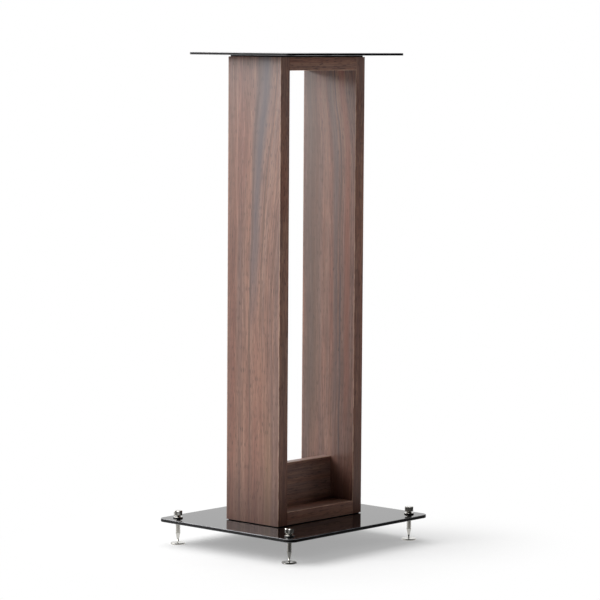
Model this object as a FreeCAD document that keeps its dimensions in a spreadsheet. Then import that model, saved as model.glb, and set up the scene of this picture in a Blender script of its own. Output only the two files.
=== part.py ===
import FreeCAD, Part
import os
from types import SimpleNamespace

import Sketcher

# Speaker stand, in millimetres. A column of four boards and a low brace stands
# between two lacquered steel plates, on four screw spikes with floor discs.
# Origin: on the floor, under the middle of the base plate. +X runs from the left
# side board to the right one, -Y is the front, +Z is up.

Vector = FreeCAD.Vector

SIZES = (
    # base plate
    ("base_length", 255, "base plate, side to side"),
    ("base_depth", 220, "base plate, front to back"),
    ("base_thickness", 4, "sheet steel of the base plate"),
    ("base_corner", 10, "corner radius of the base plate"),
    ("base_height", 28, "floor to the underside of the base plate"),
    # top plate
    ("top_length", 210, "top plate, side to side"),
    ("top_depth", 170, "top plate, front to back"),
    ("top_thickness", 3, "sheet steel of the top plate"),
    ("top_corner", 10, "corner radius of the top plate"),
    ("plate_arris", 0.4, "eased edge of both plates"),
    # column
    ("window_width", 120, "clear width between the side boards"),
    ("column_depth", 86, "width of the boards, front to back"),
    ("column_height", 562, "length of the side boards"),
    ("board_thickness", 16, "side, top and bottom boards"),
    ("board_arris", 0.5, "broken long edges of the boards"),
    ("brace_thickness", 12, "low brace panel"),
    ("brace_height", 52, "low brace panel"),
    # thin pads between the column and the plates
    ("base_pad_thickness", 1, "foam pad under the column"),
    ("top_pad_thickness", 2, "foam pad on the column"),
    ("pad_inset", 2, "pad edge inside the column's edge"),
    ("pad_band", 10, "width of the foam round the pad's opening"),
    # loose splines, glued into slots across each joint
    ("spline_thickness", 4, "plywood splines"),
    ("spline_in_side", 8, "depth of a spline in a side board"),
    ("spline_in_end", 12, "depth of a spline in the end of a board"),
    ("rail_spline_length", 60, "splines of the top and bottom boards"),
    ("brace_spline_length", 36, "splines of the brace"),
    ("glue_gap", 0.5, "room left past each edge of a spline"),
    # countersunk system screws that hold the plates to the column
    ("screw_spacing_across", 60, "both plates, side to side"),
    ("screw_spacing_deep", 50, "base plate, front to back"),
    ("screw_diameter", 6.3, "over the thread"),
    ("screw_head", 10, "countersunk head"),
    ("screw_length", 16, "over the head"),
    ("screw_clearance", 0.2, "radial room of a screw in its plate"),
    ("screw_gap", 1, "room past the end of a screw"),
    # levelling spikes
    ("spike_inset_across", 17.5, "plate edge to spike axis, side to side"),
    ("spike_inset_deep", 18, "plate edge to spike axis, front to back"),
    ("spike_diameter", 6, "threaded shank of a spike"),
    ("spike_clearance", 0.05, "radial room of the shank in its tapped hole"),
    ("spike_taper", 12.8, "length of the pointed end"),
    ("spike_tip", 0.8, "width of the blunted point"),
    ("washer_diameter", 12, "black washer on the base plate"),
    ("washer_thickness", 0.9, "black washer on the base plate"),
    ("collar_diameter", 11.4, "collar under the neck"),
    ("collar_thickness", 0.9, "collar under the neck"),
    ("neck_diameter", 6.8, "neck between collar and head"),
    ("neck_height", 2, "neck between collar and head"),
    ("head_diameter", 10.6, "blank of the knurled head"),
    ("head_height", 5.6, "knurled head"),
    ("knurl_depth", 0.6, "grooves of the straight knurl, side by side"),
    ("knurl_flank", 0.75, "half width of a groove, level with the blank"),
    # floor discs
    ("disc_diameter", 18, "floor disc"),
    ("disc_thickness", 2, "floor disc"),
    ("dimple_diameter", 3.4, "mouth of the dimple that takes the point"),
    ("dimple_depth", 1, "depth of the dimple"),
    ("point_gap", 0.2, "room under the point in the dimple"),
)
KNURL_COUNT = 28
FULL_TURN = 360
COUNTERSINK_ANGLE = 90
FLAT = 1e-6


class Size:
    """A length with its value and the expression that drives it."""

    def __init__(self, value, text):
        self.value = value
        self.text = text

    def __add__(self, other):
        return Size(self.value + other.value, f"({self.text} + {other.text})")

    def __sub__(self, other):
        return Size(self.value - other.value, f"({self.text} - {other.text})")

    def __mul__(self, factor):
        return Size(self.value * factor, f"({self.text} * {factor})")

    def __truediv__(self, divisor):
        return Size(self.value / divisor, f"({self.text} / {divisor})")

    def __neg__(self):
        return Size(-self.value, f"(0 - {self.text})")


# ---------------------------------------------------------------- document

os.makedirs("parts", exist_ok=True)
doc = FreeCAD.newDocument("speaker_stand")
sheet = doc.addObject("Spreadsheet::Sheet", "Sizes")
for row, (alias, millimetres, note) in enumerate(SIZES, start=1):
    sheet.set(f"A{row}", str(millimetres))
    sheet.setAlias(f"A{row}", alias)
    sheet.set(f"B{row}", note)
doc.recompute()

s = SimpleNamespace(**{
    alias: Size(float(sheet.get(alias)), f"Sizes.{alias}") for alias, _, _ in SIZES
})
NOTHING = Size(0.0, "0")
pieces = []

# heights and half sizes that several pieces share
base_top = s.base_height + s.base_thickness
column_foot = base_top + s.base_pad_thickness
column_top = column_foot + s.column_height
plate_foot = column_top + s.top_pad_thickness
window_half = s.window_width / 2
side_middle = window_half + s.board_thickness / 2
column_width = s.window_width + s.board_thickness * 2
spike_pitch_across = s.base_length - s.spike_inset_across * 2
spike_pitch_deep = s.base_depth - s.spike_inset_deep * 2


# ---------------------------------------------------------------- helpers

def new_body(label, x=NOTHING, y=NOTHING, z=NOTHING, turned=0):
    """A body with its label, placed by expressions and turned about Z."""
    body = doc.addObject("PartDesign::Body", label)
    body.Label = label
    rotation = FreeCAD.Rotation(Vector(0, 0, 1), turned)
    body.Placement = FreeCAD.Placement(Vector(x.value, y.value, z.value), rotation)
    for name, length in (("x", x), ("y", y), ("z", z)):
        body.setExpression(f".Placement.Base.{name}", length.text)
    pieces.append(body)
    return body


def origin_feature(body, role):
    """One of the body's own axes or planes."""
    return next(o for o in body.Origin.OriginFeatures if o.Role == role)


def new_sketch(body, name, plane="XY_Plane", offset=NOTHING):
    """A sketch on an origin plane, moved along the plane's normal."""
    sketch = body.newObject("Sketcher::SketchObject", f"{body.Label}_{name}")
    sketch.AttachmentSupport = [(origin_feature(body, plane), "")]
    sketch.MapMode = "FlatFace"
    if offset is not NOTHING:
        sketch.AttachmentOffset = FreeCAD.Placement(Vector(0, 0, offset.value), FreeCAD.Rotation())
        sketch.setExpression(".AttachmentOffset.Base.z", offset.text)
    return sketch


def constrain(sketch, kind, places, length, name):
    """A dimension that is driven by its expression."""
    index = sketch.addConstraint(Sketcher.Constraint(kind, *places, length.value))
    sketch.renameConstraint(index, name)
    sketch.setExpression(f"Constraints.{name}", length.text)


def pin_point(sketch, geometry, point, x, y, name):
    """Hold a point of the sketch at x, y from the sketch's origin."""
    constrain(sketch, "DistanceX", (-1, 1, geometry, point), x, f"{name}_x")
    constrain(sketch, "DistanceY", (-1, 1, geometry, point), y, f"{name}_y")


def draw_outline(sketch, corners):
    """A closed outline of straight lines through the given corners."""
    count = len(corners)
    first = sketch.GeometryCount
    for i, (x, y) in enumerate(corners):
        x_next, y_next = corners[(i + 1) % count]
        start = Vector(x.value, y.value, 0)
        end = Vector(x_next.value, y_next.value, 0)
        sketch.addGeometry(Part.LineSegment(start, end), False)
    for i, (x, y) in enumerate(corners):
        following = first + (i + 1) % count
        sketch.addConstraint(Sketcher.Constraint("Coincident", first + i, 2, following, 1))
        pin_point(sketch, first + i, 1, x, y, f"corner{first + i}")


def draw_rectangle(sketch, x_low, y_low, x_high, y_high):
    draw_outline(sketch, [(x_low, y_low), (x_high, y_low), (x_high, y_high), (x_low, y_high)])


def draw_circle(sketch, x, y, diameter):
    shape = Part.Circle(Vector(x.value, y.value, 0), Vector(0, 0, 1), diameter.value / 2)
    index = sketch.addGeometry(shape, False)
    pin_point(sketch, index, 3, x, y, f"centre{index}")
    constrain(sketch, "Diameter", (index,), diameter, f"diameter{index}")


def add_pad(body, sketch, length):
    pad = body.newObject("PartDesign::Pad", f"{sketch.Name}_pad")
    pad.Profile = sketch
    pad.setExpression("Length", length.text)
    doc.recompute()
    return pad


def add_pocket(body, sketch, depth, reversed_cut=False):
    """Cut against the sketch's normal, or along it when reversed."""
    before = body.Shape.Volume
    pocket = body.newObject("PartDesign::Pocket", f"{sketch.Name}_pocket")
    pocket.Profile = sketch
    pocket.Reversed = reversed_cut
    pocket.setExpression("Length", depth.text)
    doc.recompute()
    if not body.Shape.Volume < before:
        raise RuntimeError(f"{pocket.Name} cuts nothing")
    return pocket


def add_revolution(body, sketch):
    """A full turn about the sketch's upright axis."""
    turned = body.newObject("PartDesign::Revolution", f"{sketch.Name}_turned")
    turned.Profile = sketch
    turned.ReferenceAxis = (sketch, ["V_Axis"])
    turned.Angle = FULL_TURN
    doc.recompute()


def dress_edges(body, kind, feature, chosen, length):
    """Fillet or chamfer the edges of a feature that the test picks."""
    names = [f"Edge{i}" for i, edge in enumerate(feature.Shape.Edges, start=1) if chosen(edge)]
    dressed = body.newObject(f"PartDesign::{kind}", f"{feature.Name}_{kind.lower()}")
    dressed.Base = (feature, names)
    dressed.setExpression("Radius" if kind == "Fillet" else "Size", length.text)
    doc.recompute()
    return dressed


def repeat_in_rectangle(body, feature, across, deep):
    """Two copies of a feature from side to side, and two front to back if it is deep."""
    pattern = body.newObject("PartDesign::LinearPattern", f"{feature.Name}_pattern")
    pattern.Originals = [feature]
    pattern.Direction = (origin_feature(body, "X_Axis"), [""])
    pattern.Occurrences = 2
    pattern.setExpression("Length", across.text)
    if deep is not NOTHING:
        pattern.Direction2 = (origin_feature(body, "Y_Axis"), [""])
        pattern.Occurrences2 = 2
        pattern.setExpression("Length2", deep.text)
    body.Tip = pattern
    doc.recompute()


def repeat_round(body, feature, count):
    """Copies of a feature, evenly round the body's upright axis."""
    pattern = body.newObject("PartDesign::PolarPattern", f"{feature.Name}_pattern")
    pattern.Originals = [feature]
    pattern.Axis = (origin_feature(body, "Z_Axis"), [""])
    pattern.Angle = FULL_TURN
    pattern.Occurrences = count
    body.Tip = pattern
    doc.recompute()


def is_level(edge):
    return edge.BoundBox.ZLength < FLAT


def is_upright(edge):
    return edge.BoundBox.XLength < FLAT and edge.BoundBox.YLength < FLAT


def is_across(edge):
    return edge.BoundBox.YLength < FLAT and edge.BoundBox.ZLength < FLAT


# ---------------------------------------------------------------- plates

def drill_screw_holes(body, face, through, deep, from_below):
    """Countersunk screw holes through a plate, with their mouths on the given face."""
    sketch = new_sketch(body, "screws", offset=face)
    draw_circle(sketch, -s.screw_spacing_across / 2, -deep / 2, s.screw_diameter)
    hole = body.newObject("PartDesign::Hole", f"{sketch.Name}_hole")
    hole.Profile = sketch
    doc.recompute()
    hole.ThreadType = "None"
    hole.DepthType = "Dimension"
    hole.DrillPoint = "Flat"
    hole.Reversed = from_below
    hole.setExpression("Depth", through.text)
    hole.setExpression("Diameter", (s.screw_diameter + s.screw_clearance * 2).text)
    hole.HoleCutType = "Countersink"
    hole.HoleCutCustomValues = True
    hole.HoleCutCountersinkAngle = COUNTERSINK_ANGLE
    hole.setExpression("HoleCutDiameter", s.screw_head.text)
    doc.recompute()
    repeat_in_rectangle(body, hole, s.screw_spacing_across, deep)


def make_plate(label, length, depth, thickness, corner, underside):
    """A flat plate with round corners and eased edges."""
    body = new_body(label, z=underside)
    outline = new_sketch(body, "outline")
    draw_rectangle(outline, -length / 2, -depth / 2, length / 2, depth / 2)
    blank = add_pad(body, outline, thickness)
    rounded = dress_edges(body, "Fillet", blank, is_upright, corner)
    dress_edges(body, "Chamfer", rounded, is_level, s.plate_arris)
    return body


def make_base_plate():
    """The base plate, with tapped corners and screw holes from below."""
    body = make_plate("base_plate", s.base_length, s.base_depth, s.base_thickness,
                      s.base_corner, s.base_height)
    tapped = new_sketch(body, "tapped", offset=s.base_thickness)
    draw_circle(tapped, -spike_pitch_across / 2, -spike_pitch_deep / 2,
                s.spike_diameter + s.spike_clearance * 2)
    corner_hole = add_pocket(body, tapped, s.base_thickness)
    repeat_in_rectangle(body, corner_hole, spike_pitch_across, spike_pitch_deep)
    drill_screw_holes(body, NOTHING, s.base_thickness, s.screw_spacing_deep, from_below=True)


def make_top_plate():
    """The top plate, with screw holes sunk flush from above."""
    body = make_plate("top_plate", s.top_length, s.top_depth, s.top_thickness,
                      s.top_corner, plate_foot)
    drill_screw_holes(body, s.top_thickness, s.top_thickness, NOTHING, from_below=False)


# ---------------------------------------------------------------- column

def make_side_board(label, side, turned):
    """An upright board with its spline slots on the window side."""
    body = new_body(label, x=side_middle * side, z=column_foot, turned=turned)
    outline = new_sketch(body, "outline")
    draw_rectangle(outline, -s.board_thickness / 2, -s.column_depth / 2,
                   s.board_thickness / 2, s.column_depth / 2)
    blank = add_pad(body, outline, s.column_height)
    dress_edges(body, "Chamfer", blank, is_upright, s.board_arris)

    slots = new_sketch(body, "slots", "YZ_Plane", s.board_thickness / 2)
    half_length = s.rail_spline_length / 2 + s.glue_gap
    half_thick = s.spline_thickness / 2
    for level in (s.board_thickness / 2, s.column_height - s.board_thickness / 2):
        draw_rectangle(slots, -half_length, level - half_thick, half_length, level + half_thick)
    level = s.board_thickness + s.brace_height / 2
    half_length = s.brace_spline_length / 2 + s.glue_gap
    draw_rectangle(slots, -half_thick, level - half_length, half_thick, level + half_length)
    add_pocket(body, slots, s.spline_in_side + s.glue_gap)


def slot_both_ends(body, half_y, level, half_z):
    """The same spline slot in both ends of a board across the window."""
    for name, offset, inward in (("left", -window_half, True), ("right", window_half, False)):
        sketch = new_sketch(body, f"{name}_end", "YZ_Plane", offset)
        draw_rectangle(sketch, -half_y, level - half_z, half_y, level + half_z)
        add_pocket(body, sketch, s.spline_in_end + s.glue_gap, reversed_cut=inward)


def make_rail(label, underside, from_screw_head, screw_face, deep):
    """The top or bottom board, with blind screw holes in the face to its plate."""
    body = new_body(label, z=underside)
    outline = new_sketch(body, "outline")
    draw_rectangle(outline, -window_half, -s.column_depth / 2, window_half, s.column_depth / 2)
    blank = add_pad(body, outline, s.board_thickness)
    dress_edges(body, "Chamfer", blank, is_across, s.board_arris)
    slot_both_ends(body, s.rail_spline_length / 2 + s.glue_gap, s.board_thickness / 2,
                   s.spline_thickness / 2)
    screws = new_sketch(body, "screws", offset=screw_face)
    draw_circle(screws, -s.screw_spacing_across / 2, -deep / 2, s.screw_diameter)
    in_board = s.screw_length - from_screw_head
    hole = add_pocket(body, screws, in_board + s.screw_gap, reversed_cut=screw_face is NOTHING)
    repeat_in_rectangle(body, hole, s.screw_spacing_across, deep)


def make_brace():
    """The low panel across the middle of the window."""
    body = new_body("brace_panel", z=column_foot + s.board_thickness)
    outline = new_sketch(body, "outline")
    draw_rectangle(outline, -window_half, -s.brace_thickness / 2,
                   window_half, s.brace_thickness / 2)
    blank = add_pad(body, outline, s.brace_height)
    top = s.brace_height.value
    dress_edges(body, "Chamfer", blank,
                lambda edge: is_across(edge) and abs(edge.BoundBox.ZMax - top) < FLAT,
                s.board_arris)
    slot_both_ends(body, s.spline_thickness / 2, s.brace_height / 2,
                   s.brace_spline_length / 2 + s.glue_gap)


def make_splines(label, size_y, size_z, levels):
    """Loose splines across both side joints, as one group of separate slips."""
    slips = []
    for side, near_end in (("left", -window_half - s.spline_in_side),
                           ("right", window_half - s.spline_in_end)):
        for i, level in enumerate(levels):
            slip = doc.addObject("Part::Box", f"{label}_{side}_{i}")
            slip.setExpression("Length", (s.spline_in_side + s.spline_in_end).text)
            slip.setExpression("Width", size_y.text)
            slip.setExpression("Height", size_z.text)
            for axis, place in (("x", near_end), ("y", -size_y / 2), ("z", level - size_z / 2)):
                slip.setExpression(f".Placement.Base.{axis}", place.text)
            slips.append(slip)
    group = doc.addObject("Part::Compound", label)
    group.Label = label
    group.Links = slips
    pieces.append(group)


def make_pad(label, underside, thickness):
    """A thin foam pad, open in the middle for the screws."""
    body = new_body(label, z=underside)
    outline = new_sketch(body, "outline")
    half_width = column_width / 2 - s.pad_inset
    half_depth = s.column_depth / 2 - s.pad_inset
    draw_rectangle(outline, -half_width, -half_depth, half_width, half_depth)
    half_width = half_width - s.pad_band
    half_depth = half_depth - s.pad_band
    draw_rectangle(outline, -half_width, -half_depth, half_width, half_depth)
    add_pad(body, outline, thickness)


# ---------------------------------------------------------------- fixings

def make_screws(label, seat, rows, tilt):
    """Countersunk screws with heads flush with a plate, turned over by the tilt."""
    group = []
    head_height = (s.screw_head - s.screw_diameter) / 2
    for x, side in ((-s.screw_spacing_across / 2, "left"), (s.screw_spacing_across / 2, "right")):
        for i, y in enumerate(rows):
            name = f"{label}_{side}_{i}"
            cone = doc.addObject("Part::Cone", f"{name}_head")
            cone.setExpression("Radius1", (s.screw_head / 2).text)
            cone.setExpression("Radius2", (s.screw_diameter / 2).text)
            cone.setExpression("Height", head_height.text)
            shank = doc.addObject("Part::Cylinder", f"{name}_shank")
            shank.setExpression("Radius", (s.screw_diameter / 2).text)
            shank.setExpression("Height", (s.screw_length - head_height).text)
            shank.setExpression(".Placement.Base.z", head_height.text)
            screw = doc.addObject("Part::Fuse", name)
            screw.Base = cone
            screw.Tool = shank
            screw.Placement = FreeCAD.Placement(Vector(0, 0, 0),
                                                FreeCAD.Rotation(Vector(1, 0, 0), tilt))
            for axis, place in (("x", x), ("y", y), ("z", seat)):
                screw.setExpression(f".Placement.Base.{axis}", place.text)
            group.append(screw)
    compound = doc.addObject("Part::Compound", label)
    compound.Label = label
    compound.Links = group
    pieces.append(compound)


# ---------------------------------------------------------------- spikes

point_height = s.disc_thickness - s.dimple_depth + s.point_gap
taper_top = point_height + s.spike_taper
collar_foot = base_top + s.washer_thickness
collar_top = collar_foot + s.collar_thickness
head_foot = collar_top + s.neck_height
head_top = head_foot + s.head_height


def make_spike(label, x, y):
    """A turned spike: point, threaded shank, collar, neck and knurled head."""
    body = new_body(label, x=x, y=y)
    profile = new_sketch(body, "profile", "XZ_Plane")
    draw_outline(profile, [
        (NOTHING, point_height),
        (s.spike_tip / 2, point_height),
        (s.spike_diameter / 2, taper_top),
        (s.spike_diameter / 2, collar_foot),
        (s.collar_diameter / 2, collar_foot),
        (s.collar_diameter / 2, collar_top),
        (s.neck_diameter / 2, collar_top),
        (s.neck_diameter / 2, head_foot),
        (s.head_diameter / 2, head_foot),
        (s.head_diameter / 2, head_top),
        (NOTHING, head_top),
    ])
    add_revolution(body, profile)

    groove = new_sketch(body, "groove", offset=head_top)
    rim = s.head_diameter / 2
    draw_outline(groove, [
        (rim - s.knurl_depth, NOTHING),
        (rim + s.knurl_depth, -s.knurl_flank * 2),
        (rim + s.knurl_depth, s.knurl_flank * 2),
    ])
    cut = add_pocket(body, groove, s.head_height)
    repeat_round(body, cut, KNURL_COUNT)


def make_washer(label, x, y):
    """The black washer between the collar and the base plate."""
    body = new_body(label, x=x, y=y, z=base_top)
    ring = new_sketch(body, "ring")
    draw_circle(ring, NOTHING, NOTHING, s.washer_diameter)
    draw_circle(ring, NOTHING, NOTHING, s.spike_diameter + s.spike_clearance * 2)
    add_pad(body, ring, s.washer_thickness)


def make_disc(label, x, y):
    """The floor disc, with a dimple for the point."""
    body = new_body(label, x=x, y=y)
    profile = new_sketch(body, "profile", "XZ_Plane")
    rim = s.disc_diameter / 2
    draw_outline(profile, [
        (NOTHING, NOTHING),
        (rim, NOTHING),
        (rim, s.disc_thickness),
        (s.dimple_diameter / 2, s.disc_thickness),
        (NOTHING, s.disc_thickness - s.dimple_depth),
    ])
    add_revolution(body, profile)


# ---------------------------------------------------------------- assembly

rail_levels = (column_foot + s.board_thickness / 2, column_top - s.board_thickness / 2)
brace_level = column_foot + s.board_thickness + s.brace_height / 2

make_base_plate()
make_pad("base_pad", base_top, s.base_pad_thickness)
make_side_board("left_board", side=-1, turned=0)
make_side_board("right_board", side=1, turned=180)
make_rail("bottom_board", column_foot, s.base_thickness + s.base_pad_thickness, NOTHING,
          s.screw_spacing_deep)
make_rail("top_board", column_top - s.board_thickness, s.top_thickness + s.top_pad_thickness,
          s.board_thickness, NOTHING)
make_brace()
make_splines("rail_splines", s.rail_spline_length, s.spline_thickness, rail_levels)
make_splines("brace_splines", s.spline_thickness, s.brace_spline_length, [brace_level])
make_pad("top_pad", column_top, s.top_pad_thickness)
make_top_plate()
make_screws("base_screws", s.base_height,
            [-s.screw_spacing_deep / 2, s.screw_spacing_deep / 2], tilt=0)
make_screws("top_screws", plate_foot + s.top_thickness, [NOTHING], tilt=180)

for depth_name, y_spike in (("front", -spike_pitch_deep / 2), ("rear", spike_pitch_deep / 2)):
    for side_name, x_spike in (("left", -spike_pitch_across / 2), ("right", spike_pitch_across / 2)):
        corner_name = f"{depth_name}_{side_name}"
        make_spike(f"spike_{corner_name}", x_spike, y_spike)
        make_washer(f"spike_washer_{corner_name}", x_spike, y_spike)
        make_disc(f"floor_disc_{corner_name}", x_spike, y_spike)

# ---------------------------------------------------------------- output

doc.recompute()
for item in doc.Objects:
    if "Invalid" in item.State or "Error" in item.State:
        raise RuntimeError(f"{item.Label} failed: {item.State}")
for piece in pieces:
    if piece.Shape.isNull() or not piece.Shape.isValid():
        raise RuntimeError(f"{piece.Label} has no valid shape")
for piece in pieces:
    piece.Shape.exportStep(f"parts/{piece.Label}.step")
    print(piece.Label, len(piece.Shape.Solids), "solids", round(piece.Shape.Volume), "mm3")
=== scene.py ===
import math

import bmesh
import bpy
from mathutils import Matrix, Vector


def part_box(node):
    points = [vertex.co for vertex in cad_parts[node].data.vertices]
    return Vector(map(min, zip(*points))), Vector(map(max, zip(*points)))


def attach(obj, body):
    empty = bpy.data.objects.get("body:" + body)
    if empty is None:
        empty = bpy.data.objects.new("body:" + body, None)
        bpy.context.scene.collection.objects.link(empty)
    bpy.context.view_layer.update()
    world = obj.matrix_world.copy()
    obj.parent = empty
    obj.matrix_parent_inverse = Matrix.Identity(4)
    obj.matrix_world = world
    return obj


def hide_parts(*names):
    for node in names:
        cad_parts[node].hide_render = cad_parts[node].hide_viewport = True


# A speaker stand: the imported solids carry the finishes, and the small turned and
# threaded pieces are modelled again in full detail. Lengths are in metres, +Z is up
# and -Y is the front. MM turns millimetres to metres.

MM = 0.001
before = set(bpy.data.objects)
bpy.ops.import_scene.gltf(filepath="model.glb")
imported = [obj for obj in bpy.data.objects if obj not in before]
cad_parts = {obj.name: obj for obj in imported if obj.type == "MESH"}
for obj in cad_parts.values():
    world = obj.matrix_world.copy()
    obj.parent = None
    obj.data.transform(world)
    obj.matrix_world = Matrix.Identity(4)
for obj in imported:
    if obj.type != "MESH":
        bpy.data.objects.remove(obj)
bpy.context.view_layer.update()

BOARDS = ("left_board", "right_board", "top_board", "bottom_board", "brace_panel")
PADS = ("base_pad", "top_pad")
SPLINES = ("rail_splines", "brace_splines")
CORNERS = ("front_left", "front_right", "rear_left", "rear_right")


# ---------------------------------------------------------------- materials

MATH, MIX, RANGE = "ShaderNodeMath", "ShaderNodeMix", "ShaderNodeMapRange"
VECTOR, SPLIT, NOISE = "ShaderNodeVectorMath", "ShaderNodeSeparateXYZ", "ShaderNodeTexNoise"
COLOURS = {"data_type": "RGBA"}
SMOOTH = {"interpolation_type": "SMOOTHSTEP"}
MULTIPLY, ABSOLUTE, MAXIMUM = ({"operation": name} for name in ("MULTIPLY", "ABSOLUTE", "MAXIMUM"))


def srgb(code):
    """A hex colour as the linear values that a shader takes."""
    parts = [int(code[i:i + 2], 16) / 255 for i in (0, 2, 4)]
    linear = [p / 12.92 if p <= 0.04045 else ((p + 0.055) / 1.055) ** 2.4 for p in parts]
    return (*linear, 1.0)


def feed(node, **inputs):
    """Fill a node's inputs with values, hex colours, nodes or their outputs."""
    for key, value in inputs.items():
        socket = next(s for s in node.inputs if s.identifier.replace(" ", "_") == key)
        if isinstance(value, bpy.types.Node):
            value = next(s for s in value.outputs if s.enabled)
        if isinstance(value, bpy.types.NodeSocket):
            node.id_data.links.new(value, socket)
        else:
            socket.default_value = srgb(value) if isinstance(value, str) else value


def add_node(tree, kind, settings=None, **inputs):
    """A node with its settings and its inputs."""
    node = tree.nodes.new(kind)
    for key, value in (settings or {}).items():
        setattr(node, key, value)
    feed(node, **inputs)
    return node


def new_material(name):
    """A material with its tree, its main shader and the place on the piece."""
    material = bpy.data.materials.new(name)
    material.use_nodes = True
    tree = material.node_tree
    place = add_node(tree, "ShaderNodeTexCoord").outputs["Object"]
    return material, tree, tree.nodes["Principled BSDF"], place


def streaks(tree, place, across, along, detail):
    """Noise drawn out along the grain, with its width and length in millimetres."""
    stretched = add_node(tree, "ShaderNodeMapping", Vector=place,
                         Scale=(1 / (across * MM), 1 / (across * MM), 1 / (along * MM)))
    return add_node(tree, NOISE, Vector=stretched, Scale=1.0, Detail=detail,
                    Roughness=0.55).outputs["Fac"]


# The side boards' edge in metres, and how far the figure's lines sway, in millimetres.
BOARD_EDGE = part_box("left_board")[1].y
SWAY = 7.0


def lay_figure(tree, colour, place, split, shift, face, figure):
    """Single lines and bands on the face at that X. Each has its middle and half width
    across the board in millimetres, its colour and strength, and the two heights in
    metres between which it fades in."""
    on_face = add_node(tree, RANGE, SMOOTH, Value=split.outputs["X"],
                       From_Min=face + 0.3 * MM, From_Max=face + 0.1 * MM)
    across = add_node(tree, MATH, Value=split.outputs["Y"], Value_001=shift)
    across = add_node(tree, MATH, {"operation": "MULTIPLY_ADD"},
                      Value=streaks(tree, place, 60, 90, 1.0), Value_001=SWAY * MM,
                      Value_002=across)
    for middle, half, tone, strength, fade_from, fade_to in figure:
        off = add_node(tree, MATH, {"operation": "SUBTRACT"}, Value=across,
                       Value_001=(middle + SWAY / 2) * MM)
        away = add_node(tree, MATH, ABSOLUTE, Value=off)
        amount = add_node(tree, RANGE, SMOOTH, Value=away, From_Min=half * MM,
                          From_Max=0.15 * half * MM, To_Max=strength)
        shown = add_node(tree, RANGE, SMOOTH, Value=split.outputs["Z"], From_Min=fade_from,
                         From_Max=fade_to)
        for share in (shown, on_face):
            amount = add_node(tree, MATH, MULTIPLY, Value=amount, Value_001=share)
        colour = add_node(tree, MIX, COLOURS, Factor_Float=amount, A_Color=colour, B_Color=tone)

    # Painted highlight: the foil is drawn pale next to the board's edges, where the arris catches
    # the light.
    aside = add_node(tree, MATH, ABSOLUTE, Value=split.outputs["Y"])
    painted_edge_highlight = add_node(tree, RANGE, SMOOTH, Value=aside, From_Min=BOARD_EDGE - 1.5 * MM,
                      From_Max=BOARD_EDGE - 0.6 * MM, To_Max=0.65)
    painted_edge_highlight = add_node(tree, MATH, MULTIPLY, Value=painted_edge_highlight, Value_001=on_face)
    colour = add_node(tree, MIX, COLOURS, Factor_Float=painted_edge_highlight, A_Color=colour, B_Color="BFA08E")
    # Painted shade: the foot of the board is drawn darker, where the base plate shades it.
    foot = add_node(tree, RANGE, SMOOTH, Value=split.outputs["Z"], From_Min=130 * MM,
                    From_Max=30 * MM, To_Max=0.50)
    return add_node(tree, MIX, COLOURS, Factor_Float=foot, A_Color=colour, B_Color="42241A")


# Walnut-grain foil on fibreboard, printed and embossed, with a satin top coat. To the
# eye: brown under a soft veil, with broad grey and red drifts that wander along the
# board, narrow darker lines among them, fine fibres and short pores. Fibres and pores
# are drawn several times coarser than the real 0.2 mm, so that they show.
# Turn and offset lay the grain on a board. Lean carries it across: the shift grows
# between a low and a high height, and inwards from one side, to its full reach.
def walnut_foil(name, turn, offset, lean=None, face=None, figure=()):
    material, tree, shader, place = new_material(name)
    laid = add_node(tree, "ShaderNodeMapping", Vector=place, Rotation=turn, Location=offset)
    split = add_node(tree, SPLIT, Vector=laid)
    across = add_node(tree, MATH, {"operation": "MULTIPLY_ADD"},
                      Value=streaks(tree, laid, 70, 260, 0.0), Value_001=14 * MM,
                      Value_002=split.outputs["Y"])
    if lean:
        low, high, side, reach = lean
        upright_place = add_node(tree, SPLIT, Vector=place)
        rise = add_node(tree, RANGE, SMOOTH, Value=upright_place.outputs["Z"], From_Min=low,
                        From_Max=high)
        inwards = add_node(tree, RANGE, SMOOTH, Value=upright_place.outputs["Y"], From_Min=side,
                           From_Max=side - 75 * MM, To_Max=reach)
        shift = add_node(tree, MATH, MULTIPLY, Value=rise, Value_001=inwards)
        across = add_node(tree, MATH, Value=across, Value_001=shift)
    flow = add_node(tree, "ShaderNodeCombineXYZ", X=split.outputs["X"], Y=across,
                    Z=split.outputs["Z"])
    elsewhere = add_node(tree, VECTOR, Vector=flow, Vector_001=(0.4, 0.9, 0.2))
    drift = streaks(tree, flow, 40, 560, 1.0)
    band = streaks(tree, flow, 13, 480, 2.0)
    warm = streaks(tree, elsewhere, 17, 430, 2.0)
    line = streaks(tree, flow, 3.4, 330, 2.0)
    fibre = streaks(tree, flow, 1.6, 42, 2.0)
    pore = streaks(tree, flow, 0.9, 9, 0.0)

    ground = add_node(tree, RANGE, SMOOTH, Value=drift, From_Min=0.34, From_Max=0.66)
    colour = add_node(tree, MIX, COLOURS, Factor_Float=ground, A_Color="6F4D40", B_Color="8B6554")
    for pattern, low, high, strength, tone in (
            (band, 0.42, 0.66, 0.60, "67534E"), (warm, 0.48, 0.70, 0.55, "7E4C3B"),
            (line, 0.55, 0.72, 0.42, "503830"), (line, 0.44, 0.28, 0.32, "A07C69"),
            (fibre, 0.46, 0.66, 0.42, "4E3027"), (fibre, 0.44, 0.28, 0.30, "A98471"),
            (pore, 0.62, 0.72, 0.60, "34221A")):
        share = add_node(tree, RANGE, SMOOTH, Value=pattern, From_Min=low, From_Max=high,
                         To_Max=strength)
        colour = add_node(tree, MIX, COLOURS, Factor_Float=share, A_Color=colour, B_Color=tone)
    if figure:
        colour = lay_figure(tree, colour, place, upright_place, shift, face, figure)
    relief = add_node(tree, "ShaderNodeBump", Height=fibre, Distance=0.04 * MM, Strength=0.2)
    feed(shader, Base_Color=colour, Roughness=0.38, IOR=1.5, Normal=relief)
    return material
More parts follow.
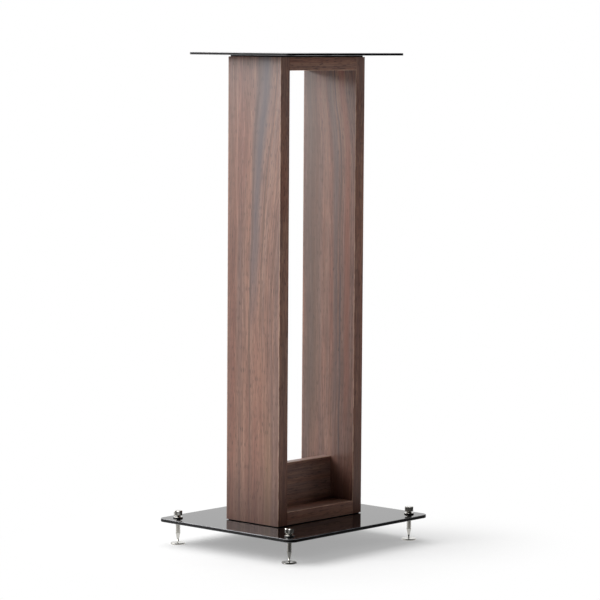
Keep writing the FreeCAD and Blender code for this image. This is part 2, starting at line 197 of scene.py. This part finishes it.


# The folded edges of the foil, with a painted highlight: drawn pale where the arris catches the
# light. To the eye: a thin lighter line.
def painted_arris_highlight():
    material, tree, shader, place = new_material("rubbed_foil_edge")
    arris_highlight_patches = add_node(tree, NOISE, Vector=place, Scale=1 / (14 * MM), Detail=2.0)
    share = add_node(tree, RANGE, SMOOTH, Value=arris_highlight_patches, From_Min=0.35, From_Max=0.65)
    colour = add_node(tree, MIX, COLOURS, Factor_Float=share, A_Color="8E6957", B_Color="C9A792")
    feed(shader, Base_Color=colour, Roughness=0.45)
    return material


# High-gloss black lacquer, sprayed on sheet steel and polished. To the eye: black when
# looked down on, and a mirror at a low angle, with a faint waviness of the spray.
def black_lacquer():
    material, tree, shader, place = new_material("gloss_black_lacquer_on_steel")
    wave = add_node(tree, NOISE, Vector=place, Scale=1 / (9 * MM), Detail=1.0)
    relief = add_node(tree, "ShaderNodeBump", Height=wave, Distance=0.02 * MM, Strength=0.15)
    feed(shader, Base_Color="070708", Roughness=0.04, IOR=1.5, Normal=relief)
    return material


# The same lacquer on the sawn edge of the plates, unpolished and dusty. To the eye: dull
# black.
def edge_lacquer():
    material, tree, shader, place = new_material("dull_black_lacquer_on_cut_edge")
    dust = add_node(tree, NOISE, Vector=place, Scale=1 / (1.2 * MM), Detail=2.0)
    dull = add_node(tree, RANGE, SMOOTH, Value=dust, From_Min=0.3, From_Max=0.7, To_Min=0.5,
                    To_Max=0.65)
    feed(shader, Base_Color="060607", IOR=1.3, Roughness=dull)
    return material


# The eased rim of the plates, with a painted highlight: grey where the rim catches the light. To
# the eye: a fine grey line.
def rim_painted_highlight():
    material, tree, shader, place = new_material("thin_lacquer_on_eased_rim")
    rim_highlight_patches = add_node(tree, NOISE, Vector=place, Scale=1 / (20 * MM), Detail=2.0)
    share = add_node(tree, RANGE, SMOOTH, Value=rim_highlight_patches, From_Min=0.35, From_Max=0.65)
    colour = add_node(tree, MIX, COLOURS, Factor_Float=share, A_Color="5C5C60", B_Color="8A8A8E")
    feed(shader, Base_Color=colour, Roughness=0.3)
    return material


# Bright nickel-chrome plate on turned steel. To the eye: a mirror, light where it faces
# the room and dark where it faces the plate or the floor ahead, whose reflection is painted
# dark, with turning marks, which are drawn at 0.6 mm, coarser than they are, so that they show.
def chrome_plate():
    material, tree, shader, place = new_material("nickel_chrome_on_turned_steel")
    marks = add_node(tree, NOISE, Vector=place, Scale=1 / (0.6 * MM), Detail=1.0)
    polish = add_node(tree, RANGE, SMOOTH, Value=marks, From_Min=0.3, From_Max=0.7, To_Min=0.05,
                      To_Max=0.12)
    feed(shader, Base_Color="C4C2BD", Metallic=1.0, Roughness=polish)
    return material


# Black oxide on cold-forged steel. To the eye: nearly black, with a dull oily sheen.
def black_oxide():
    material, tree, shader, place = new_material("black_oxide_on_steel")
    bloom = add_node(tree, NOISE, Vector=place, Scale=1 / (1.5 * MM), Detail=2.0)
    sheen = add_node(tree, RANGE, SMOOTH, Value=bloom, From_Min=0.3, From_Max=0.7, To_Min=0.34,
                     To_Max=0.48)
    feed(shader, Base_Color="2A2A2C", Metallic=0.8, Roughness=sheen)
    return material


# Moulded black nylon. To the eye: matte black with a fine moulded grain, which is drawn
# at 0.4 mm, coarser than it is, so that it shows.
def black_nylon():
    material, tree, shader, place = new_material("moulded_black_nylon")
    grain = add_node(tree, NOISE, Vector=place, Scale=1 / (0.4 * MM), Detail=2.0)
    matte = add_node(tree, RANGE, SMOOTH, Value=grain, From_Min=0.3, From_Max=0.7, To_Min=0.5,
                     To_Max=0.62)
    feed(shader, Base_Color="17171A", IOR=1.53, Roughness=matte)
    return material


# Closed-cell foam sheet. To the eye: dead black with tiny cells along the cut edge.
def black_foam():
    material, tree, shader, place = new_material("closed_cell_foam_sheet")
    cells = add_node(tree, "ShaderNodeTexVoronoi", Vector=place, Scale=1 / (0.5 * MM))
    share = add_node(tree, RANGE, SMOOTH, Value=cells, From_Min=0.1, From_Max=0.6)
    colour = add_node(tree, MIX, COLOURS, Factor_Float=share, A_Color="0C0C0D", B_Color="1E1E20")
    feed(shader, Base_Color=colour, Roughness=0.92)
    return material


# Birch plywood, sawn into slips. To the eye: pale straw plies, every other one darker.
# The wave draws each ply 4 mm thick, coarser than the real 1.3 mm, so that it shows.
def birch_plywood():
    material, tree, shader, place = new_material("sawn_birch_plywood")
    plies = add_node(tree, "ShaderNodeTexWave", {"bands_direction": "Z"}, Vector=place,
                     Scale=1 / (20 * 1.3 * MM), Distortion=0.4).outputs["Fac"]
    fibre = streaks(tree, place, 0.8, 12, 2.0)
    share = add_node(tree, RANGE, SMOOTH, Value=plies, From_Min=0.3, From_Max=0.7)
    colour = add_node(tree, MIX, COLOURS, Factor_Float=share, A_Color="CDB088", B_Color="B08E62")
    share = add_node(tree, RANGE, SMOOTH, Value=fibre, From_Min=0.4, From_Max=0.7, To_Max=0.4)
    colour = add_node(tree, MIX, COLOURS, Factor_Float=share, A_Color=colour, B_Color="93744D")
    feed(shader, Base_Color=colour, Roughness=0.75)
    return material


UPRIGHT = (0.0, 0.0, 0.0)
SIDEWAYS = (0.0, math.radians(90), 0.0)
foils = {
    "left_board": walnut_foil(
        "satin_walnut_foil_left", UPRIGHT, (0.31, 0.07, 0.12), lean=(0.27, 0.62, 0.030, 0.027),
        face=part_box("left_board")[0].x, figure=(
            (0.5, 10.5, "4E4B50", 0.55, 0.24, 0.36),
            (0.0, 4.0, "3F3F46", 0.35, 0.28, 0.48),
            (5.5, 2.0, "3B2F2E", 0.48, 0.10, 0.30),
            (-10.5, 2.0, "3B2F2E", 0.55, 0.20, 0.34),
            (-14.5, 2.2, "6A5A58", 0.40, 0.30, 0.50),
            (27.0, 2.4, "94705E", 0.35, 0.10, 0.40),
            (5.0, 2.4, "3A2A24", 0.42, 0.30, 0.18),
            (9.0, 4.0, "6E4336", 0.40, 0.26, 0.16),
            (-26.0, 10.0, "8A6A4E", 0.45, 0.20, 0.08),
        )),
    "right_board": walnut_foil(
        "satin_walnut_foil_right", UPRIGHT, (0.83, 0.41, 0.57), lean=(0.46, 0.58, 0.06, -0.012),
        face=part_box("right_board")[0].x, figure=(
            (26.0, 20.0, "4E4037", 0.55, 0.02, 0.20),
            (2.0, 7.0, "80685A", 0.35, 0.10, 0.45),
            (-12.0, 6.0, "49403F", 0.50, 0.10, 0.20),
            (-19.5, 2.2, "332C2E", 0.58, 0.06, 0.12),
            (-31.0, 7.5, "834B39", 0.50, 0.10, 0.22),
        )),
    "top_board": walnut_foil("satin_walnut_foil_top", SIDEWAYS, (1.27, 0.23, 0.91)),
    "bottom_board": walnut_foil("satin_walnut_foil_bottom", SIDEWAYS, (1.47, 0.31, 2.43)),
    "brace_panel": walnut_foil("satin_walnut_foil_brace", SIDEWAYS, (2.61, 0.55, 1.19)),
}
arris = painted_arris_highlight()
lacquer = black_lacquer()
dull_edge = edge_lacquer()
rim_highlight = rim_painted_highlight()
chrome = chrome_plate()
oxide = black_oxide()
nylon = black_nylon()
foam = black_foam()
plywood = birch_plywood()

# A face is flat when its normal is this near an axis, and an eased rim when it leans.
FLAT, LEANING = 0.95, 0.3


def finish_node(name, *finishes):
    """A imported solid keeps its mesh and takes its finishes: faces, then eased rims, then
    sawn edges."""
    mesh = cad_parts[name].data
    mesh.materials.clear()
    for material in finishes:
        mesh.materials.append(material)
    for face in mesh.polygons:
        if len(finishes) == 2 and max(abs(part) for part in face.normal) < FLAT:
            face.material_index = 1
        elif len(finishes) == 3 and abs(face.normal.z) < FLAT:
            face.material_index = 1 if abs(face.normal.z) > LEANING else 2


for board in BOARDS:
    finish_node(board, foils[board], arris)
finish_node("base_plate", lacquer, rim_highlight, dull_edge)
finish_node("top_plate", lacquer, rim_highlight, lacquer)
for pad in PADS:
    finish_node(pad, foam)
for spline in SPLINES:
    finish_node(spline, plywood)
for corner in CORNERS:
    finish_node(f"spike_washer_{corner}", nylon)


# ---------------------------------------------------------------- turned pieces

def deselect_all():
    """Nothing selected, in object mode."""
    if bpy.context.mode != "OBJECT":
        bpy.ops.object.mode_set(mode="OBJECT")
    bpy.ops.object.select_all(action="DESELECT")


def start_ring(name, vertices, radius, height, filled=True):
    """A ring about the Z axis, as the first station of a turned piece, in edit mode."""
    deselect_all()
    bpy.ops.mesh.primitive_circle_add(vertices=vertices, radius=radius * MM,
                                      fill_type="NGON" if filled else "NOTHING",
                                      location=(0, 0, height * MM))
    piece = bpy.context.object
    piece.name = name
    bpy.ops.object.transform_apply(location=True, rotation=True, scale=True)
    bpy.ops.object.mode_set(mode="EDIT")
    bpy.ops.mesh.select_all(action="SELECT")
    return piece


def turn_along(stations, start):
    """The selected ring drawn through further (radius, height) stations."""
    radius, height = start
    for next_radius, next_height in stations:
        bpy.ops.mesh.extrude_region_move(
            TRANSFORM_OT_translate={"value": (0, 0, (next_height - height) * MM)})
        share = next_radius / radius
        if abs(share - 1) > 1e-9:
            bpy.ops.transform.resize(value=(share, share, 1))
        radius, height = next_radius, next_height


def close_up(piece, smooth_angle):
    """Outward faces and soft shading below the angle, back in object mode."""
    bpy.ops.mesh.select_all(action="SELECT")
    bpy.ops.mesh.normals_make_consistent(inside=False)
    deselect_all()
    piece.select_set(True)
    bpy.context.view_layer.objects.active = piece
    bpy.ops.object.shade_smooth_by_angle(angle=math.radians(smooth_angle))


def turned(name, vertices, stations, smooth_angle=35):
    """A solid of revolution from its (radius, height) stations in millimetres."""
    start, *rest = stations
    piece = start_ring(name, vertices, *start)
    turn_along(rest, start)
    close_up(piece, smooth_angle)
    return piece


def knurled_head(name, grooves, crest, root, low, high, ease):
    """A straight-knurled cylinder with eased rims."""
    piece = start_ring(name, grooves * 2, crest, low)
    form = bmesh.from_edit_mesh(piece.data)
    form.verts.ensure_lookup_table()
    for i, vertex in enumerate(sorted(form.verts, key=lambda v: math.atan2(v.co.y, v.co.x))):
        vertex.select_set(i % 2 == 0)
    form.select_flush(False)
    bmesh.update_edit_mesh(piece.data)
    bpy.ops.transform.resize(value=(root / crest, root / crest, 1))
    bpy.ops.mesh.select_all(action="SELECT")
    rim = crest - ease
    bpy.ops.transform.resize(value=(rim / crest, rim / crest, 1))
    turn_along([(crest, low + ease), (crest, high - ease), (rim, high)], (rim, low))
    close_up(piece, smooth_angle=20)
    return piece


THREAD_STEPS = 28


def thread(name, crest, pitch, low, turns):
    """A right-hand thread: a triangle wound round the core, with its ends closed."""
    side = pitch * 0.96
    radius = side / math.sqrt(3)
    deselect_all()
    bpy.ops.mesh.primitive_circle_add(vertices=3, radius=radius * MM, fill_type="NOTHING",
                                      location=((crest - radius) * MM, 0, low * MM),
                                      rotation=(math.radians(90), math.radians(90), 0))
    piece = bpy.context.object
    piece.name = name
    bpy.ops.object.transform_apply(location=True, rotation=True, scale=True)
    wound = piece.modifiers.new("wound", "SCREW")
    wound.axis = "Z"
    wound.angle = math.radians(360)
    wound.screw_offset = pitch * MM
    wound.iterations = turns
    wound.steps = THREAD_STEPS
    wound.render_steps = THREAD_STEPS
    wound.use_merge_vertices = False
    bpy.ops.object.modifier_apply(modifier=wound.name)
    bpy.ops.object.mode_set(mode="EDIT")
    bpy.ops.mesh.select_all(action="SELECT")
    bpy.ops.mesh.remove_doubles(threshold=1e-7)
    bpy.ops.mesh.select_all(action="SELECT")
    bpy.ops.mesh.fill_holes(sides=4)
    close_up(piece, smooth_angle=30)
    return piece


def joined(name, pieces, material):
    """Pieces of one part made one object with one finish."""
    deselect_all()
    for piece in pieces:
        piece.select_set(True)
    bpy.context.view_layer.objects.active = pieces[0]
    if len(pieces) > 1:
        bpy.ops.object.join()
    whole = bpy.context.view_layer.objects.active
    whole.name = name
    whole.data.name = name
    whole.data.materials.clear()
    whole.data.materials.append(material)
    return whole


def copy_to(pattern, name, place):
    """A copy with its own mesh, turned and moved in its mesh."""
    mesh = pattern.data.copy()
    mesh.name = name
    mesh.transform(place)
    copy = bpy.data.objects.new(name, mesh)
    bpy.context.scene.collection.objects.link(copy)
    return copy


# Millimetres. The collar's foot stands on the washer, and the head and its neck above it.
collar_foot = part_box("spike_washer_front_left")[1].z / MM
spike_foot, spike_top = (corner.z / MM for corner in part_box("spike_front_left"))
disc_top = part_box("floor_disc_front_left")[1].z / MM

SHANK, CORE, PITCH = 3.0, 2.45, 1.0
COLLAR, NECK = 5.7, 3.4
taper_top = spike_foot + 12.8
collar_top = collar_foot + 0.9
head_foot = collar_top + 2.0

point_and_neck = turned("point_and_neck", 40, [
    (0.25, spike_foot), (0.4, spike_foot + 0.12),
    (SHANK - 0.1, taper_top - 0.3), (SHANK - 0.02, taper_top),
    (CORE, taper_top + 0.5), (CORE, collar_foot),
    (COLLAR - 0.2, collar_foot), (COLLAR, collar_foot + 0.2),
    (COLLAR, collar_top - 0.2), (COLLAR - 0.2, collar_top),
    (NECK + 0.3, collar_top), (NECK, collar_top + 0.3), (NECK, head_foot)])
knob = knurled_head("knob", grooves=32, crest=5.2, root=4.86, low=head_foot, high=spike_top,
                    ease=0.45)
winding = thread("winding", SHANK, PITCH, low=taper_top + 0.6, turns=18)
spike = joined("spike_pattern", [point_and_neck, knob, winding], chrome)

disc = joined("disc_pattern", [turned("disc_blank", 64, [
    (8.75, 0.0), (9.0, 0.25), (9.0, disc_top - 0.55), (8.9, disc_top - 0.25),
    (8.6, disc_top - 0.06), (8.3, disc_top),
    (1.75, disc_top), (1.6, disc_top - 0.1), (0.12, disc_top - 1.0)])], chrome)

for corner in CORNERS:
    low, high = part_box(f"spike_{corner}")
    middle = Matrix.Translation(((low.x + high.x) / 2, (low.y + high.y) / 2, 0))
    for pattern, node in ((spike, f"spike_{corner}"), (disc, f"floor_disc_{corner}")):
        piece = copy_to(pattern, f"{node}_turned", middle)
        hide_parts(node)
        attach(piece, node)
for pattern in (spike, disc):
    bpy.data.objects.remove(pattern)


# ---------------------------------------------------------------- plate screws

# Millimetres, with radii for the head, shank and socket. The screws of a plate stand
# ACROSS and DEEP apart, which are metres.
HEAD, SCREW_SHANK, SCREW_LENGTH, RIM = 5.0, 3.15, 16.0, 0.15
SOCKET, SOCKET_DEPTH = 2.3, 2.2
ACROSS, DEEP = 60 * MM, 50 * MM


def socket_screw(name):
    """A countersunk screw, head down at height nought, with a hexagon socket."""
    piece = start_ring(name, 36, HEAD, RIM, filled=False)
    turn_along([(SCREW_SHANK, RIM + HEAD - SCREW_SHANK), (SCREW_SHANK, SCREW_LENGTH - 0.6),
                (SCREW_SHANK - 0.6, SCREW_LENGTH)], (HEAD, RIM))
    bpy.ops.mesh.edge_face_add()
    recess = start_ring("recess", 6, SOCKET, 0.0, filled=False)
    turn_along([(SOCKET, SOCKET_DEPTH)], (SOCKET, 0.0))
    bpy.ops.mesh.edge_face_add()
    rim = start_ring("rim", 36, HEAD - RIM, 0.0, filled=False)
    whole = joined(name, [piece, recess, rim], oxide)

    # Two bands close the head: from the socket to the rim, and round the rim's bevel.
    bpy.ops.object.mode_set(mode="EDIT")
    for wanted in (lambda v: abs(v.co.z) < 1e-6,
                   lambda v: v.co.z < (RIM + 0.01) * MM
                   and math.hypot(v.co.x, v.co.y) > (HEAD - 0.2) * MM):
        bpy.ops.mesh.select_all(action="DESELECT")
        form = bmesh.from_edit_mesh(whole.data)
        for edge in form.edges:
            if len(edge.link_faces) < 2 and all(wanted(v) for v in edge.verts):
                edge.select_set(True)
        bmesh.update_edit_mesh(whole.data)
        bpy.ops.mesh.bridge_edge_loops()
    close_up(whole, smooth_angle=30)
    return whole


def place_screws(group, head_down):
    """One detailed screw at each place of a group of screws."""
    low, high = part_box(group)
    middle = (high.x + low.x) / 2
    level, tilt = (low.z, 0.0) if head_down else (high.z, math.pi)
    rows = (-DEEP / 2, DEEP / 2) if high.y - low.y > DEEP else (0.0,)
    pattern = socket_screw("screw_pattern")
    screws = []
    for x in (middle - ACROSS / 2, middle + ACROSS / 2):
        for y in rows:
            place = Matrix.Translation((x, y, level)) @ Matrix.Rotation(tilt, 4, "X")
            screws.append(copy_to(pattern, f"{group}_{len(screws)}", place))
    bpy.data.objects.remove(pattern)
    whole = joined(f"{group}_detailed", screws, oxide)
    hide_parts(group)
    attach(whole, "stand")


place_screws("base_screws", head_down=True)
place_screws("top_screws", head_down=False)


# ---------------------------------------------------------------- floor and light

# The floor's own shade shows most under the base, and fades to white from the edge of
# this half box outwards. Its reflection is painted: white behind and dark ahead.
SHADE_BOX = (0.070, 0.060, 0)
SHADE_REACH = 0.27
AHEAD = (-0.38, -0.92, 0)


# A matte white studio floor. Seen directly it is nearly the white of the room, and it keeps
# the stand's shadow. In a reflection it is a painted reflection: white behind, dim ahead.
def studio_floor():
    material, tree, shader, place = new_material("matte_white_studio_floor")
    feed(shader, Base_Color="E4E4E4", Roughness=0.9)
    path = add_node(tree, "ShaderNodeLightPath")
    seen, glossy, through = (path.outputs[name] for name in
                             ("Is Camera Ray", "Is Glossy Ray", "Is Transmission Ray"))
    mirrored = add_node(tree, MATH, MAXIMUM, Value=glossy, Value_001=through)
    beside = add_node(tree, VECTOR, ABSOLUTE, Vector=place)
    beyond = add_node(tree, VECTOR, {"operation": "SUBTRACT"}, Vector=beside,
                      Vector_001=SHADE_BOX)
    clear = add_node(tree, VECTOR, MAXIMUM, Vector=beyond, Vector_001=(0, 0, 0))
    far = add_node(tree, VECTOR, {"operation": "LENGTH"}, Vector=clear)
    white_share = add_node(tree, RANGE, SMOOTH, Value=far, From_Max=SHADE_REACH, To_Min=0.33)
    white_share = add_node(tree, MATH, MULTIPLY, Value=seen, Value_001=white_share)
    share = add_node(tree, MATH, MAXIMUM, Value=white_share, Value_001=mirrored)
    # Painted reflection: seen in gloss, the floor is white behind the stand and nearly black ahead
    # of it.
    ahead = add_node(tree, VECTOR, {"operation": "DOT_PRODUCT"}, Vector=place, Vector_001=AHEAD)
    painted_reflection_ahead = add_node(tree, RANGE, SMOOTH, Value=ahead, From_Min=0.21, From_Max=-0.03, To_Min=0.06)
    strength = add_node(tree, MIX, Factor_Float=seen, A_Float=painted_reflection_ahead, B_Float=1.0)
    white = add_node(tree, "ShaderNodeEmission", Color="FFFFFF", Strength=strength)
    both = add_node(tree, "ShaderNodeMixShader", Fac=share, Shader=shader, Shader_001=white)
    feed(tree.nodes["Material Output"], Surface=both)
    return material


deselect_all()
bpy.ops.mesh.primitive_plane_add(size=30, location=(0, 0, 0))
floor = bpy.context.object
floor.name = "studio_floor"
floor.data.materials.append(studio_floor())


def soft_box(name, place, aim, width, height, watts):
    """A soft box of that width and height, which faces its aim."""
    lamp = bpy.data.lights.new(name, "AREA")
    lamp.shape = "RECTANGLE"
    lamp.size = width
    lamp.size_y = height
    lamp.energy = watts
    box = bpy.data.objects.new(name, lamp)
    box.location = place
    box.rotation_euler = (Vector(aim) - Vector(place)).to_track_quat("-Z", "Y").to_euler()
    bpy.context.scene.collection.objects.link(box)
    return box


soft_box("left_rear_box", (-1.81, 1.57, 1.70), (0, 0, 0.40), 1.8, 1.8, 72)
soft_box("overhead_box", (0.1, 1.2, 2.6), (0.0, 0.3, 0), 3.2, 3.2, 100)
card = soft_box("white_card", (-1.80, 1.56, 1.66), (0, 0, 0.45), 1.8, 1.8, 92)
card.visible_diffuse = False
fill = soft_box("right_front_box", (1.90, -1.30, 0.60), (0, 0, 0.34), 1.4, 1.0, 17)
fill.visible_glossy = False


# The room: white all round to the eye. Gloss finds it white behind the stand and dim
# in front, where a studio has no backdrop. Its walls add a little light at their height.
def white_room():
    world = bpy.data.worlds.new("white_room")
    bpy.context.scene.world = world
    world.use_nodes = True
    tree = world.node_tree
    path = add_node(tree, "ShaderNodeLightPath")
    seen, glossy, through = (path.outputs[name] for name in
                             ("Is Camera Ray", "Is Glossy Ray", "Is Transmission Ray"))
    toward = add_node(tree, SPLIT, Vector=add_node(tree, "ShaderNodeTexCoord").outputs["Generated"])
    behind = add_node(tree, RANGE, SMOOTH, Value=toward.outputs["Y"], From_Min=-0.10,
                      From_Max=0.30, To_Min=0.02)
    steep = add_node(tree, MATH, ABSOLUTE, Value=toward.outputs["Z"])
    walls = add_node(tree, RANGE, SMOOTH, Value=steep, From_Min=0.45, From_Max=0.15, To_Max=0.18)
    mirrored = add_node(tree, MATH, MAXIMUM, Value=glossy, Value_001=through)
    unseen = add_node(tree, MIX, Factor_Float=mirrored, A_Float=walls, B_Float=behind)
    level = add_node(tree, MIX, Factor_Float=seen, A_Float=unseen, B_Float=1.0)
    feed(tree.nodes["Background"], Color="FFFFFF", Strength=level)


white_room()


# ---------------------------------------------------------------- camera

# The photograph's view: from the front left, a little above the top plate, from far off.
# Degrees, metres, and the lens in millimetres.
AZIMUTH, HEADING, PITCH_DOWN, ROLL = -47.902, -47.991, 5.333, 0.388
DISTANCE, EYE_HEIGHT, LENS = 3.4593, 0.62183, 170.69


def camera():
    lens = bpy.data.cameras.new("camera")
    lens.sensor_width = 36
    lens.lens = LENS
    lens.clip_end = 50
    eye = bpy.data.objects.new("camera", lens)
    bpy.context.scene.collection.objects.link(eye)
    around = math.radians(AZIMUTH)
    place = Vector((math.sin(around) * DISTANCE, -math.cos(around) * DISTANCE, EYE_HEIGHT))
    turn = (Matrix.Rotation(math.radians(HEADING), 4, "Z")
            @ Matrix.Rotation(math.radians(90 - PITCH_DOWN), 4, "X")
            @ Matrix.Rotation(math.radians(ROLL), 4, "Z"))
    eye.matrix_world = Matrix.Translation(place) @ turn
    bpy.context.scene.camera = eye


camera()
bpy.context.scene.view_settings.view_transform = "Standard"
